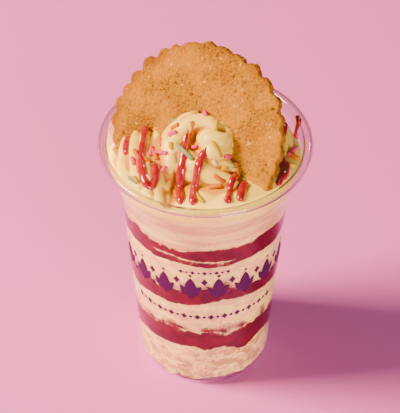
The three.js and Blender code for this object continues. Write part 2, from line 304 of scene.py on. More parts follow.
class Finish(Nodes):
    """A node material. Distances inside it are in millimetres."""

    def __init__(self, name, **values):
        self.material = bpy.data.materials.new(name)
        self.material.use_nodes = True
        super().__init__(self.material.node_tree)
        self.shader = self.tree.nodes["Principled BSDF"]
        for socket, value in values.items():
            self.shader.inputs[socket.replace("_", " ")].default_value = value
        where = self.add("ShaderNodeTexCoord").outputs["Object"]
        scaled = self.add("ShaderNodeVectorMath", [(0, where)], operation="SCALE")
        scaled.inputs["Scale"].default_value = 1 / MM
        self.where = scaled.outputs[0]

    def noise(self, size, detail=3.0, rough=0.55, squash=None):
        """Soft noise whose blobs are about size millimetres across."""
        where = self.where
        if squash:
            links = [(0, where), (1, squash)]
            where = self.add("ShaderNodeVectorMath", links, operation="MULTIPLY").outputs[0]
        links = [("Scale", 1 / size), ("Detail", detail), ("Roughness", rough), ("Vector", where)]
        return self.add("ShaderNodeTexNoise", links).outputs["Fac"]

    def ramp(self, value, low, high, start=0.0, end=1.0):
        """Stretches a value so that low becomes start and high becomes end, with soft ends."""
        links = [("Value", value), ("From Min", low), ("From Max", high),
                 ("To Min", start), ("To Max", end)]
        node = self.add("ShaderNodeMapRange", links, interpolation_type="SMOOTHSTEP")
        return node.outputs["Result"]

    def blend(self, share, a, b):
        """Colour a where share is 0 and colour b where it is 1."""
        return self.add("ShaderNodeMix", [(0, share), (6, a), (7, b)], data_type="RGBA").outputs[2]

    def stain(self, base, share, colour, strength):
        """A colour laid over another where share is 1, at most by a strength."""
        return self.blend(self.times(share, strength), base, colour)

    def height(self):
        return self.add("ShaderNodeSeparateXYZ", [(0, self.where)]).outputs["Z"]

    def painted(self, name):
        """A value that was stored on the mesh's points."""
        return self.add("ShaderNodeAttribute", attribute_name=name).outputs["Fac"]

    def bump(self, height, depth, strength=1.0):
        """Relief of a depth in millimetres, added to what is already there."""
        normal = self.shader.inputs["Normal"]
        links = [("Strength", strength), ("Distance", depth * MM), ("Height", height)]
        if normal.is_linked:
            links.append(("Normal", normal.links[0].from_socket))
        self.put(self.add("ShaderNodeBump", links).outputs["Normal"], normal)

    def colour(self, value):
        self.put(value, self.shader.inputs["Base Color"])

    def wear(self, *pieces):
        for made in pieces:
            made.data.materials.append(self.material)


# %% [markdown]
# ## The tumbler
#
# It is a thin clear plastic cup with a straight taper, a wider collar and a rolled lip that is
# open underneath. Such a cup is round, so its outline is drawn once, down the outside and up the
# inside, and turned about the axis. The solid model has a few dozen flat sides, and this one is
# turned finely enough for its lip to stay smooth in a close view.

# %% Tumbler outline
CUP_HEIGHT, WALL = 129.0, 0.7
TAPER = {"foot_radius": 29.95, "slope": 0.0745}
FLARE = {"from": 98, "to": 124, "wider": 4.2}
FOOT = {"inner": 26, "outer": 28.3, "corner": 5, "corner_in": 0.7,
        "panel": 3.4, "panel_radius": 24.4}
LIP = {"centre": 45.35, "width": 2.15, "height": 2.0}


def wall_radius(z):
    """Outside radius of the cup at a height."""
    straight = TAPER["foot_radius"] + TAPER["slope"] * np.asarray(z, float)
    return float(straight + FLARE["wider"] * smoothstep(FLARE["from"], FLARE["to"], z))


def arc(centre, half, start, end, steps):
    turn = np.radians(np.linspace(start, end, steps + 1))
    return [(centre[0] + half[0] * math.cos(t), centre[1] + half[1] * math.sin(t)) for t in turn]


def foot_corner(inward):
    start = FOOT["outer"] - FOOT["corner_in"]
    reach = wall_radius(FOOT["corner"]) - FOOT["outer"] + FOOT["corner_in"]
    return arc((start, FOOT["corner"]), (reach - inward, FOOT["corner"] - inward), -62, 0, 8)


heights = [8, 20, 40, 60, 80, 96, *range(98, 123, 2), 123.5]
roll = (LIP["centre"], CUP_HEIGHT - LIP["height"])
outside = [(FOOT["panel_radius"], FOOT["panel"]), (FOOT["inner"], 0.25), (FOOT["inner"] + 0.25, 0),
           (FOOT["outer"] - 0.8, 0), *foot_corner(0), *[(wall_radius(z), z) for z in heights],
           (LIP["centre"] - LIP["width"] + WALL, CUP_HEIGHT - LIP["height"] - 0.6),
           *arc(roll, (LIP["width"] - WALL, LIP["height"] - WALL), 165, -50, 18)]
inside = [*arc(roll, (LIP["width"], LIP["height"]), -50, 180, 24),
          *[(wall_radius(z) - WALL, z) for z in reversed(heights)],
          *reversed(foot_corner(WALL)), (FOOT["inner"] + 0.5, WALL),
          (FOOT["panel_radius"] + 0.2, FOOT["panel"] + WALL)]

# %% [markdown]
# The outline could be turned with Blender's Screw modifier, but its seam then has to be merged.
# Placing the rings directly gives closed poles at the middle of the base straight away.

# %% Turn the tumbler
around = turns_of(192)


def turned_ring(radius, z):
    return [at_angle(radius, t, z) for t in around]


rings = [[(0, 0, FOOT["panel"])], *[turned_ring(r, z) for r, z in outside + inside],
         [(0, 0, FOOT["panel"] + WALL)]]
cup = piece("clear_tumbler", *skin(rings))
print("tumbler:", triangles(cup), "triangles")

# %% [markdown]
# Such plastic is clear on the wall, and looks grey where light crosses it several times, at the
# lip and the foot. That grey is painted shade in its colour there, so its tint and its shine
# change with height. Shadow rays pass straight through, or the contents would stand in the dark.

# %% Clear plastic
CLEAR, GREY_SHADE = (1, 1, 1, 1), (0.76, 0.79, 0.74, 1)
plastic = Finish("clear_plastic", Base_Color=CLEAR, Roughness=0.03, IOR=1.5,
                 Transmission_Weight=1.0)
plastic.bump(plastic.noise(14, 1), 0.05, 0.6)
at_lip, at_foot = (plastic.ramp(plastic.height(), *limits) for limits in ((121, 126), (3.5, 0.5)))
# Painted shade: the lip and the foot are tinted grey.
plastic.colour(plastic.blend(plastic.maths("MAXIMUM", at_lip, at_foot), CLEAR, GREY_SHADE))
shine = plastic.ramp(plastic.height(), 108, 124, 0.12, 0.9)
plastic.put(shine, plastic.shader.inputs["Specular IOR Level"])
ray = plastic.add("ShaderNodeLightPath")
clear = plastic.add("ShaderNodeBsdfTransparent")
through = plastic.add("ShaderNodeMixShader", [
    (0, ray.outputs["Is Shadow Ray"]), (1, plastic.shader.outputs[0]), (2, clear.outputs[0])])
plastic.put(through.outputs[0], plastic.tree.nodes["Material Output"].inputs["Surface"])
plastic.wear(cup)

# %% [markdown]
# ## The layers
#
# Each band of cream or sauce was spooned in, so its edge wanders round the cup. A band is made
# from two wavy edges, the one under it and the one over it, and neighbours share an edge, so no
# gap shows. Slow waves come from a few named bumps, and small lobes from noise that runs round
# the cup. The bands reach just into the wall, as wet food does that clings to clear plastic.

# %% Edges of the layers
EDGES = {
    "low_under": (27.4, [(1, -2.8, 6), (37, -4.6, 13), (84, -6, 18), (-88, -8, 16)]),
    "low_over": (38.4, [(-24, 3, 15), (20, -1.8, 9)]),
    "middle_under": (57.4, [(20, 3.4, 26), (-64, -2, 20)]),
    "middle_over": (66.6, [(10, 5.2, 19)]),
    "top_under": (85.2, [(40, 1, 20)]),
    "top_over": (95.0, [(-55, 3, 9), (43, 2.4, 12)]),
}
WAVES = [(0.8, 3), (0.45, 7)]
LOBES = [(0.9, 2.5), (0.55, 7), (0.35, 17)]  # height in millimetres, and lobes in each radian
FINE_SIDES = 480
FINE_TURNS = turns_of(FINE_SIDES)
CLING = 0.2  # how far the contents reach into the wall, in millimetres


def bump_sum(bumps, angle):
    return sum(high * bell(half_turn(math.degrees(angle) - at), wide) for at, high, wide in bumps)


def edge_height(edge, angle, share):
    """Height of an edge at an angle to the right of the front, at a share of the radius."""
    level, bumps = EDGES[edge]
    total = sum(high * math.sin(turns * angle + level) for high, turns in WAVES)
    total += bump_sum(bumps, angle)
    total += sum(high * round_noise(angle, turns, level) for high, turns in LOBES) * share
    return level + total * share**2


def fill_radius(z):
    """How far out the contents reach at a height."""
    if z >= FOOT["corner"]:
        return wall_radius(z) - WALL + CLING
    wide = wall_radius(FOOT["corner"]) - FOOT["outer"]
    drop = min(1.0, (FOOT["corner"] - z) / (FOOT["corner"] - WALL))
    return FOOT["outer"] - WALL + wide * math.sqrt(1 - drop**2) + CLING


def edge_ring(edge, share):
    ring = []
    for angle in FINE_TURNS:
        z = edge_height(edge, angle, share)
        ring.append(at_angle(share * fill_radius(z), angle, z))
    return ring


def wall_rows(below, above, rows):
    """Rings up the wall between two rings."""
    rings = []
    for t in np.linspace(0, 1, rows + 2)[1:-1]:
        levels = [a[2] * (1 - t) + b[2] * t for a, b in zip(below, above)]
        rings.append([at_angle(fill_radius(z), angle, z) for z, angle in zip(levels, FINE_TURNS)])
    return rings


def layer(name, under, over, rows):
    below, above = ([edge_ring(edge, share) for share in (0.5, 0.8, 1)] for edge in (under, over))
    return piece(name, *closed_skin([*below, *wall_rows(below[-1], above[-1], rows), *above[::-1]]))


# %% [markdown]
# The lowest band of cream doesn't quite fill the rounded foot: its underside is lumpy, and clear
# plastic shows below it. Noise round the cup lifts it by a millimetre or two.

# %% Make the layers
# Rings under the lowest band, each as a radius, a height and how much its lumps count.
FOOT_ROWS = ((12, 4.0, 0), (23.2, 4.0, 0), (24.6, 3.4, 0),
             (26.2, 2.0, 1.0), (27.8, 2.2, 2.2), (28.9, 3.2, 2.6))
# The bands over it, each with the edge below, the edge above and its rows up the wall.
BANDS = {
    "sauce_low": ("low_under", "low_over", 20),
    "cream_low": ("low_over", "middle_under", 30),
    "sauce_middle": ("middle_under", "middle_over", 20),
    "cream_middle": ("middle_over", "top_under", 30),
    "sauce_top": ("top_under", "top_over", 26),
}


def lumpy_ring(radius, z, lumps):
    ring = []
    for angle in FINE_TURNS:
        lump = 1.3 * round_noise(angle, 3, 4)
        lump += 0.8 * round_noise(angle, 9, 7)
        high = z + lumps * max(0.0, 0.6 + lump)
        ring.append(at_angle(min(radius, fill_radius(high)), angle, high))
    return ring


def foot_layer(name):
    below = [lumpy_ring(*row) for row in FOOT_ROWS]
    above = [edge_ring("low_under", share) for share in (1, 0.8, 0.5)]
    return piece(name, *closed_skin([*below, *wall_rows(below[-1], above[0], 26), *above]))


layers = {"cream_bottom": foot_layer("cream_bottom_layer")}
for node, band in BANDS.items():
    layers[node] = layer(f"{node}_layer", *band)
print("layers:", {o.name: triangles(o) for o in layers.values()})

# %% [markdown]
# ## How cream and sauce run into each other
#
# Where they meet, sauce seeps into the cream above it and cream smears into the sauce. A value
# from 0 for cream to 1 for sauce is worked out at each point of the mesh and stored there. The
# materials then only blend two colours by it. A streak of cream also splits the top band.

# %% Paint the share of sauce on the layers
# How far sauce seeps up from an edge, and how far cream smears down into the band over an edge.
SEEP = {"low_over": 5.0, "middle_over": 3.4, "top_over": 1.4}
SMEAR = {"low_under": 1.7, "middle_under": 1.5, "top_under": 0.8}
STREAK = {"level": 88.6, "bumps": [(-30, 1.8, 14), (12, -0.8, 12)],
          "from": -42, "to": 26, "thick": 0.55}


def seep_share(angle, z):
    """How red the cream is just above each band of sauce."""
    share = 0.0
    for edge, reach in SEEP.items():
        over = z - edge_height(edge, angle, 1)
        if 0 <= over < 12:
            wisps = 0.65 + 1.5 * round_noise(angle, 6, z * 0.16)
            share = max(share, math.exp(-over / reach) * 0.78 * max(0.0, wisps))
    return share


def streak_share(angle, z, ragged):
    """How white the top band is along its streak, and faintly below it."""
    degrees = half_turn(math.degrees(angle))
    wander = 0.5 * round_noise(angle, 9, 3) + bump_sum(STREAK["bumps"], angle)
    inside = smoothstep(STREAK["from"], STREAK["from"] + 8, degrees)
    inside *= 1 - smoothstep(STREAK["to"] - 10, STREAK["to"], degrees)
    thick = STREAK["thick"] * (0.9 + 1.2 * round_noise(angle, 16, 9))
    share = bell(abs(z - STREAK["level"] - wander), max(thick, 0.15))
    if z < STREAK["level"] + wander:
        share = max(share, 0.35 * max(0.0, ragged))
    return float(inside) * share


def cream_share(angle, z, under, over):
    """How white the sauce is near its edges, in the faint veil and along the streak."""
    low, high = z - edge_height(under, angle, 1), edge_height(over, angle, 1) - z
    ragged = 0.5 + 1.5 * round_noise(angle, 14, z * 0.35)
    near_edge = max(math.exp(-max(low, 0) / 0.7), math.exp(-max(high, 0) / SMEAR[under]))
    share = 0.8 * max(0.0, ragged) * near_edge
    if under == "middle_under":
        veil = round_noise(angle, 3, 31) + round_noise(angle, 5, z * 0.3)
        share = max(share, 0.34 * min(1.0, max(0.0, veil - 0.08)))
    if under == "top_under":
        share = max(share, streak_share(angle, z, ragged))
    return min(1.0, share)


def paint(made, value):
    """Stores value(angle, z), with both the angle and the height of a point, on every point."""
    store(made, "sauce", [value(math.atan2(x, -y), z) for x, y, z in points_of(made.data) / MM])


for node, made in layers.items():
    if node.startswith("cream"):
        paint(made, seep_share)
    else:
        edges = BANDS[node][:2]
        paint(made, lambda angle, z, edges=edges: 1 - cream_share(angle, z, *edges))

# %% [markdown]
# ## Cream and sauce finishes
#
# Cream in the cup holds crumbs and faint smears, and its folds hold painted shade, so a few noises
# tint it pink, tan and brown. The sauce is dark where it is thick. Both finishes share one recipe
# and differ in gloss.

# %% Cream and sauce finishes
CREAM = {"pale": (1.0, 0.85, 0.34, 1), "pink": (0.90, 0.54, 0.38, 1), "fold_shade": (0.76, 0.40, 0.24, 1),
         "soaked": (0.46, 0.28, 0.12, 1), "crumb": (0.50, 0.22, 0.08, 1)}
SAUCE = {"dark": (0.085, 0.0, 0.003, 1), "bright": (0.17, 0.0, 0.006, 1)}


def layered(name, **values):
    """Cream and sauce behind the wall, blended by the painted share."""
    finish = Finish(name, **values)
    crumb = finish.ramp(finish.noise(1.7, 3, 0.6), 0.56, 0.66)
    smear = finish.ramp(finish.noise(8, 3, squash=(1, 1, 2.2)), 0.40, 0.62)
    # Folds: painted shade in the creases of the cream behind the wall.
    fold_shade = finish.ramp(finish.noise(15, 3, 0.6, squash=(0.6, 0.6, 3.2)), 0.5, 0.66)
    near_foot = finish.ramp(finish.height(), 34, 18, 0.3, 1.0)
    blotch = finish.ramp(finish.noise(6.5, 3, 0.7, squash=(1, 1, 1.6)), 0.47, 0.57)
    pale = finish.blend(smear, CREAM["pale"], CREAM["pink"])
    pale = finish.stain(pale, fold_shade, CREAM["fold_shade"], 0.5)
    pale = finish.stain(pale, finish.times(blotch, near_foot), CREAM["soaked"], 0.85)
    pale = finish.stain(pale, crumb, CREAM["crumb"], near_foot)
    red = finish.blend(finish.ramp(finish.noise(6, 4), 0.35, 0.68), SAUCE["dark"], SAUCE["bright"])
    grain = finish.maths("SUBTRACT", finish.noise(0.9, 3), 0.5)
    share = finish.ramp(finish.maths("ADD", finish.painted("sauce"), grain), 0.12, 0.74)
    finish.colour(finish.blend(share, pale, red))
    finish.bump(finish.noise(3.0, 3), 0.5, 0.7)
    return finish


layer_finishes = {"cream": layered("layered_cream", Roughness=0.5, Specular_IOR_Level=0.3),
                  "sauce": layered("red_sauce", Roughness=0.4, Specular_IOR_Level=0.05)}
for node, made in layers.items():
    layer_finishes[node.split("_")[0]].wear(made)

# %% [markdown]
# ## The piped cream
#
# A star nozzle leaves a rope with deep grooves, laid in a turn against the wall and then in a
# smaller turn that climbs to a curl. A real rope sags into its neighbours and into the bed of
# cream below. The ropes and the bed are first made as separate closed skins. Booleans join them,
# and a voxel remesh then softens the sharp creases that the Booleans leave.

# %% Ropes from the nozzle
WIDE_ROPE = {"ridges": 17, "twist": 0.9, "start": 0.1, "depth": 0.15, "steps": 150, "path": [
    (-25, -46, -18, 14), (-25.5, -30, -13.5, 14), (-25, -15, -11.8, 14.2), (-24.5, 1, -11, 14.2),
    (-21, 18, -9, 13.5), (-5, 28, -9.5, 13), (14, 26, -10, 12.5), (27, 13, -11.5, 12),
    (28.5, -4, -14, 11.5), (24, -14, -18, 9)]}
SMALL_ROPE = {"ridges": 7, "twist": 1.2, "start": 0.0, "depth": 0.17, "steps": 170, "path": [
    (18, 14, -10, 9), (21, 1, -9, 9.8), (18, -11, -7.5, 9.8), (8, -19.5, -4.5, 9.6),
    (-4.5, -18.5, -1.5, 9.4), (-11.5, -9.5, 1.5, 9), (-6.5, -2, 6.5, 8.2), (2.5, -3.5, 9.5, 7),
    (7, -10.5, 8.5, 6.4), (3, -15, 6.5, 6.2), (0, -10.5, 9, 4.4), (3.5, -8, 12, 1.4)]}


def smooth_path(points, steps):
    """Points and directions along a curve that passes through every given point."""
    p = np.asarray(points, float)
    p = np.vstack([2 * p[0] - p[1], p, 2 * p[-1] - p[-2]])
    spots, ways = [], []
    for s in np.linspace(0, len(p) - 3, steps + 1):
        i = min(int(s), len(p) - 4)
        t = s - i
        a, b, c, d = p[i:i + 4]
        once, twice, thrice = c - a, 2 * a - 5 * b + 4 * c - d, 3 * b - a - 3 * c + d
        spots.append(0.5 * (2 * b + once * t + twice * t**2 + thrice * t**3))
        ways.append(0.5 * (once + 2 * twice * t + 3 * thrice * t**2))
    return np.array(spots), np.array(ways)


def rope(name, ridges, twist, start, depth, steps, path):
    """A closed rope with grooves between its ridges. A path point is (x, y, height, radius)."""
    spots, ways = smooth_path(path, steps)
    sides = ridges * 12
    rings = []
    for k, (spot, way) in enumerate(zip(spots, ways)):
        along = way[:3] / np.linalg.norm(way[:3])
        side = np.cross(along, (0, 0, 1))
        side /= np.linalg.norm(side)
        over = np.cross(side, along)
        ring = []
        for i in range(sides):
            phase = i * ridges / sides
            groove = 1 - math.sin(math.pi * (phase % 1)) ** 0.5
            angle = 2 * math.pi * i / sides + start + twist * k / steps
            reach = spot[3] * (1 - depth * groove + 0.035 * round_noise(angle, 2, k * 0.07))
            outward = side * math.cos(angle) + over * math.sin(angle)
            ring.append(spot[:3] + (0, 0, CUP_HEIGHT) + reach * outward)
        rings.append(ring)
    return piece(name, *closed_skin(rings))


ropes = [rope("wide_rope", **WIDE_ROPE), rope("small_rope", **SMALL_ROPE)]
print("ropes:", [triangles(o) for o in ropes])

# %% [markdown]
# The bed under the ropes shows in front, where it swells up to the lip and meets the biscuit. It
# is smooth with a few soft dents, as cream is that was spread with the back of a spoon.

# %% Bed of cream
BED = {"rim": 117.5, "middle": 121.5, "swell": 11, "at": 28, "wide": 62}


def bed_ring(radius, z, share):
    ring = []
    for i in range(FINE_SIDES):
        turn = 360 * i / FINE_SIDES
        x, y, _ = at_angle(radius, math.radians(turn), z)
        swell = share * BED["swell"] * bell(half_turn(turn - BED["at"]), BED["wide"])
        ring.append((x, y, z + swell + 0.9 * flat_noise(x, y, 0.11, 3)))
    return ring


profile = [(48, BED["rim"] - 2, 1), (39, BED["rim"] + 1, 1), (34, 119.8, 0.88),
           (29, BED["middle"], 0.7), (22, 123.3, 0.35), (15, BED["middle"] + 4, 0)]
underside = [edge_ring("top_over", share) for share in (0.5, 0.8, 1, 1.08)]
bed = piece("cream_bed", *closed_skin([*underside, *[bed_ring(*row) for row in profile]]))

# %% [markdown]
# Behind the biscuit the swirl's middle is filled by its inner turns. They can't be seen, so a
# plain ball stands for them and keeps the body of cream whole.

# %% Heart of the swirl
HEART = {"middle": (1, 6, CUP_HEIGHT - 13), "half": (24, 23, 19)}
(x, y, z), (wide, deep, tall) = HEART["middle"], HEART["half"]
slices = [math.radians(v) for v in range(-80, 81, 10)]
heart = piece("cream_heart", *closed_skin([
    [(x + wide * math.cos(v) * math.sin(t), y - deep * math.cos(v) * math.cos(t),
      z + tall * math.sin(v)) for t in around] for v in slices]))

# %% [markdown]
# ## Where the biscuit stands
#
# The biscuit leans back and is turned to the left. Its place is a centre and three directions. They
# serve for the slot it presses into the cream here, and for the biscuit itself further down.

# %% Place of the biscuit
BISCUIT = {"radius": 40.2, "thick": 3.8, "tooth_out": 0.8, "tooth_deep": 1.6, "pitch": 10.4,
           "centre": (-4.05, -7.2, CUP_HEIGHT + 7), "turned": 30.6, "leant": 39.6}
yaw, lean = math.radians(BISCUIT["turned"]), math.radians(BISCUIT["leant"])
facing = np.array((-math.sin(yaw) * math.cos(lean), -math.cos(yaw) * math.cos(lean),
                   math.sin(lean)))
across = np.array((math.cos(yaw), -math.sin(yaw), 0))
climb = np.cross(facing, across)


def on_biscuit(x, y, z):
    """A point of the biscuit's own frame, where z is out of its front face, in the cup's frame."""
    return np.array(BISCUIT["centre"]) + across * x + climb * y + facing * z


def disc(name, radius, top, bottom):
    rings = [[on_biscuit(radius * math.cos(t), radius * math.sin(t), z) for t in turns_of(96)]
             for z in (bottom, top)]
    return piece(name, *closed_skin(rings))


# %% [markdown]
# ## Rolls that show in front
#
# Where the nozzle was lifted, the cream folded into plump rolls: a hood, a lobe with a tip and a
# few slanting folds. Their centre lines are given as places in the picture, 400 points wide, each
# with a radius in millimetres. A ray from the camera finds the cream behind each place.

# %% Rolls of cream
ROLLS = [
    [(176, 153, 2.2), (175, 143, 3.4), (179, 133, 3.8), (187, 126, 3.9), (198, 122.5, 3.9),
     (209, 124, 3.6), (216, 130, 2.2)],
    [(198, 143, 3.0), (205, 141, 4.8), (213, 140, 4.8), (223, 139, 3.8), (230, 136, 1.8)],
    [(203, 152, 2.4), (213, 153, 3.7), (224, 151, 3.5), (231, 147, 2.0)],
    [(186, 163, 2.6), (196, 167, 3.9), (210, 174, 4.2), (226, 182, 3.4), (237, 187, 2.0)],
    [(204, 160, 2.2), (216, 163, 3.3), (228, 167, 3.2), (238, 172, 2.0)],
    [(168, 130, 1.6), (167, 139, 2.6), (168, 150, 3.0), (170, 163, 3.2), (169, 177, 2.9),
     (164, 190, 1.8)],
    [(157, 129, 1.6), (157, 140, 2.5), (157, 154, 2.6), (158, 169, 2.6), (159, 181, 2.4),
     (156, 192, 1.6)],
    [(146, 129, 1.6), (145, 140, 2.6), (144, 155, 2.7), (146, 171, 2.6), (150, 187, 1.8)],
    [(135, 133, 1.6), (134, 145, 2.4), (134, 160, 2.5), (137, 174, 2.4), (141, 188, 1.6)],
    [(125, 138, 1.6), (123, 150, 2.4), (123, 163, 2.4), (127, 177, 2.2), (132, 187, 1.6)],
    [(115, 146, 1.6), (113, 157, 2.6), (113, 169, 2.4), (118, 180, 1.6)],
]
ROLL_LIFT = 0.24  # how far a roll's middle stands off the cream, as a share of its radius


def surface_of(made):
    bpy.context.view_layer.update()
    return BVHTree.FromObject(made, bpy.context.evaluated_depsgraph_get())


def hit(surface, start, way):
    """Where a ray meets a surface, in millimetres, and how the surface faces there."""
    point, up = surface.ray_cast(start * MM, way)[:2]
    return (np.array(point) / MM, np.array(up)) if point else (None, None)


def seen_at(surface, px, py):
    """Where the camera sees a surface at a place in the picture, and how it faces."""
    across_px = (px - PICTURE["wide"] / 2) / PICTURE["focal"]
    down_px = (py - PICTURE["tall"] / 2) / PICTURE["focal"]
    return hit(surface, eye, (forward + right * across_px - upward * down_px).normalized())


def rolls_on(surface):
    made = []
    for number, corners in enumerate(ROLLS):
        path = []
        for px, py, radius in corners:
            point, up = seen_at(surface, px, py)
            if point is not None:
                path.append((*(point + up * radius * ROLL_LIFT - (0, 0, CUP_HEIGHT)), radius))
        made.append(rope(f"roll_{number}", 4, 0, 0, 0.0, 7 * len(path), path))
    return made


# %% [markdown]
# The slot is a little thinner than the biscuit, so that cream and biscuit touch with no gap. The
# cream is trimmed to the mouth of the cup, remeshed, and relaxed for a soft look. A loose scrap
# behind the biscuit is dropped: only the largest body is kept.

# %% Join, trim and soften the cream
def boolean(target, other, operation):
    """A Boolean that is left out, and says so, where it would leave almost nothing."""
    before = target.data
    cut = target.modifiers.new(operation.lower(), "BOOLEAN")
    cut.operation, cut.object, cut.solver = operation, other, "MANIFOLD"
    applied(target)
    if len(target.data.polygons) < 0.3 * len(before.polygons):
        print("left out:", operation, other.name)
        target.data = before
    bpy.data.objects.remove(other)


def largest_body(made):
    """Keeps the connected body with the most points."""
    mesh = made.data
    parent = np.arange(len(mesh.vertices))
    a, b = edges_of(mesh).T
    while True:
        low = np.minimum(parent[a], parent[b])
        before = parent.copy()
        np.minimum.at(parent, a, low)
        np.minimum.at(parent, b, low)
        parent = parent[parent]
        if (parent == before).all():
            break
    names, counts = np.unique(parent, return_counts=True)
    keep = parent == names[counts.argmax()]
    number = np.cumsum(keep) - 1
    faces = [[int(number[v]) for v in p.vertices] for p in mesh.polygons if keep[p.vertices[0]]]
    fresh = bpy.data.meshes.new(made.name)
    fresh.from_pydata(points_of(mesh)[keep].tolist(), [], faces)
    shade_smooth(fresh)
    made.data = fresh
    print(made.name, "keeps", int(keep.sum()), "of", len(keep), "points")


mouth_rows = [(wall_radius(z) - WALL + 0.3, z) for z in (90, 96, *range(98, 123, 3), 124)]
mouth_rows += [(43.1, 126), (42.6, CUP_HEIGHT + 60)]
mouth = piece("mouth_space", *closed_skin([turned_ring(*row) for row in mouth_rows]))
cream = ropes[0]
cream.name = "piped_swirl"
for other in (ropes[1], bed, heart):
    boolean(cream, other, "UNION")
rolls = melted(joined("rolls", rolls_on(surface_of(cream))), 0.6, 1)
boolean(cream, rolls, "UNION")
boolean(cream, mouth, "INTERSECT")
boolean(cream, disc("slot", BISCUIT["radius"] + 0.4, -0.5, -BISCUIT["thick"] + 0.5), "DIFFERENCE")
print("cream after the Booleans:", triangles(cream))

VOXEL = 0.64
melted(cream, VOXEL, 2)
largest_body(cream)
print("piped cream:", triangles(cream), "triangles")

# %% [markdown]
# Whipped cream has a satin surface with fine drag lines. Its grooves are painted a darker, deeper
# yellow than its crests, as painted shade and a painted glow of light that sinks into cream. How
# far each point lies below its softened surroundings is measured on the mesh, stored, and blends
# two colours.

# %% Measure the hollows
HOLLOW_STEPS = 40


def hollows(made, steps):
    """How far each point lies below the mesh around it, in millimetres."""
    mesh = made.data
    count = len(mesh.vertices)
    a, b = edges_of(mesh).T
    points, normals = points_of(mesh), np.zeros(count * 3)
    mesh.vertex_normals.foreach_get("vector", normals)
    shared = np.bincount(a, minlength=count) + np.bincount(b, minlength=count)
    soft = points
    for _ in range(steps):
        sums = [np.bincount(a, soft[b, k], count) + np.bincount(b, soft[a, k], count)
                for k in range(3)]
        soft = np.stack([total / shared for total in sums], axis=1)
    return ((soft - points) * normals.reshape(-1, 3)).sum(axis=1) / MM


depths = hollows(cream, HOLLOW_STEPS)
store(cream, "hollow", depths)
print("hollows, 5th to 95th percentile:", np.percentile(depths, (5, 50, 95)).round(2), "mm")

# %% [markdown]
# Where the piped cream is pressed against the clear plastic, it looks like the cream of the bands.
# The two looks meet along a wandering line near the lip.

# %% Piped cream finish
# The colour for the grooves is painted shade and painted glow.
SWIRL = {"crest": (1.0, 0.85, 0.15, 1), "warm": (0.98, 0.77, 0.10, 1),
         "hollow": (0.66, 0.33, 0.006, 1), "side": (0.93, 0.72, 0.35, 1),
         "side_fold_shade": (0.74, 0.42, 0.24, 1)}
whipped = Finish("whipped_cream", Roughness=0.36, Specular_IOR_Level=0.5, Subsurface_Weight=0.08,
                 Subsurface_Scale=0.002, Subsurface_Radius=(1.0, 0.6, 0.15))
patch = whipped.ramp(whipped.noise(12, 2), 0.35, 0.7)
# Painted shade: the deeper a point lies in a groove, the darker and yellower it is painted.
deep = whipped.ramp(whipped.painted("hollow"), -0.08, 0.24)
top = whipped.blend(deep, whipped.blend(patch, SWIRL["crest"], SWIRL["warm"]), SWIRL["hollow"])
# The pressed cream's folds are painted darker, as painted shade in their creases.
fold_shade = whipped.ramp(whipped.noise(13, 3, 0.6, squash=(0.45, 0.45, 2.6)), 0.40, 0.6)
speck = whipped.ramp(whipped.noise(1.7, 3), 0.61, 0.68)
side = whipped.blend(fold_shade, SWIRL["side"], SWIRL["side_fold_shade"])
side = whipped.stain(side, speck, CREAM["crumb"], 0.5)
wave = whipped.times(whipped.noise(20, 2), 14)
pressed = whipped.ramp(whipped.maths("ADD", whipped.height(), wave), 130, 120)
whipped.colour(whipped.blend(pressed, top, side))
whipped.bump(whipped.noise(1.1, 2), 0.12, 0.5)
whipped.bump(whipped.noise(5, 2), 0.35, 0.5)
whipped.wear(cream)

# %% [markdown]
# ## The biscuit
#
# It is a thin round of dough, cut with a crimped cutter and baked until golden. Its face is
# nearly flat, with a sandy grain, small pits and pale flecks, and its crimps are toasted. The
# teeth are drawn one by one with their own widths and depths. The grain is real relief in a fine
# polar mesh, so that it also shows at the edge.

# %% Biscuit outline
# Notches and tips in turn, each as degrees from the biscuit's right side and a radius.
FREE_TEETH = [
    (36, 39.4), (42, 41.4), (49, 39.3), (55, 41.4), (62, 39.4), (68, 41.6), (75, 38.9), (80, 40.5),
    (86, 39.5), (94, 41.1), (98, 40.3), (102, 42.1), (108, 40.7), (116, 41.8), (122, 40.6),
    (126, 42.2), (130, 40.9), (134, 42.6), (139, 39.8), (145, 43.2), (152, 39.8), (158, 42.2),
    (163, 40.2), (168, 41.8), (172.5, 40.6), (177, 42.3), (183, 40.6), (189, 42.2)]
TOOTH_SEED = 12
BISCUIT_SIDES = 576


def crimped_outline():
    """The free teeth, and regular ones where the biscuit stands in the cream."""
    last, first = FREE_TEETH[-1][0], FREE_TEETH[0][0] + 360
    hidden = math.floor((first - last) / BISCUIT["pitch"])
    step = (first - last) / (2 * hidden + 1)
    draw = random_numbers(TOOTH_SEED)
    corners = list(FREE_TEETH)
    for k in range(1, 2 * hidden + 1):
        if k % 2 == 0:
            out = BISCUIT["tooth_out"] * (1 - 0.5 * next(draw))
        else:
            out = BISCUIT["tooth_out"] - BISCUIT["tooth_deep"] * (0.8 + 0.3 * next(draw))
        corners.append((last + k * step, BISCUIT["radius"] + out))
    outline = []
    for (at, here), (after, there) in zip(corners, [*corners[1:], (first, corners[0][1])]):
        outline.append((math.radians(at), here))
        between = (here + there) / 2 + 0.22 * abs(here - there)
        outline.append((math.radians((at + after) / 2), between))
    return outline


outline = crimped_outline()
turns = np.arange(BISCUIT_SIDES) * 2 * math.pi / BISCUIT_SIDES
edge = np.interp(turns, [a for a, _ in outline], [r for _, r in outline], period=2 * math.pi)
edge = (np.roll(edge, 1) + edge + np.roll(edge, -1)) / 3
print("biscuit radius:", edge.min().round(1), "to", edge.max().round(1), "mm")

# %% [markdown]
# The relief has three parts: slow waves from the rolling pin, sandy grain, and pits where bubbles
# broke. It fades towards the rounded edge, so the crimps stay crisp.

# %% Biscuit relief
FRONT_SEED, BACK_SEED = 3.0, 40.0
ROUND_EDGE = 0.9
EDGE_STEPS = 12


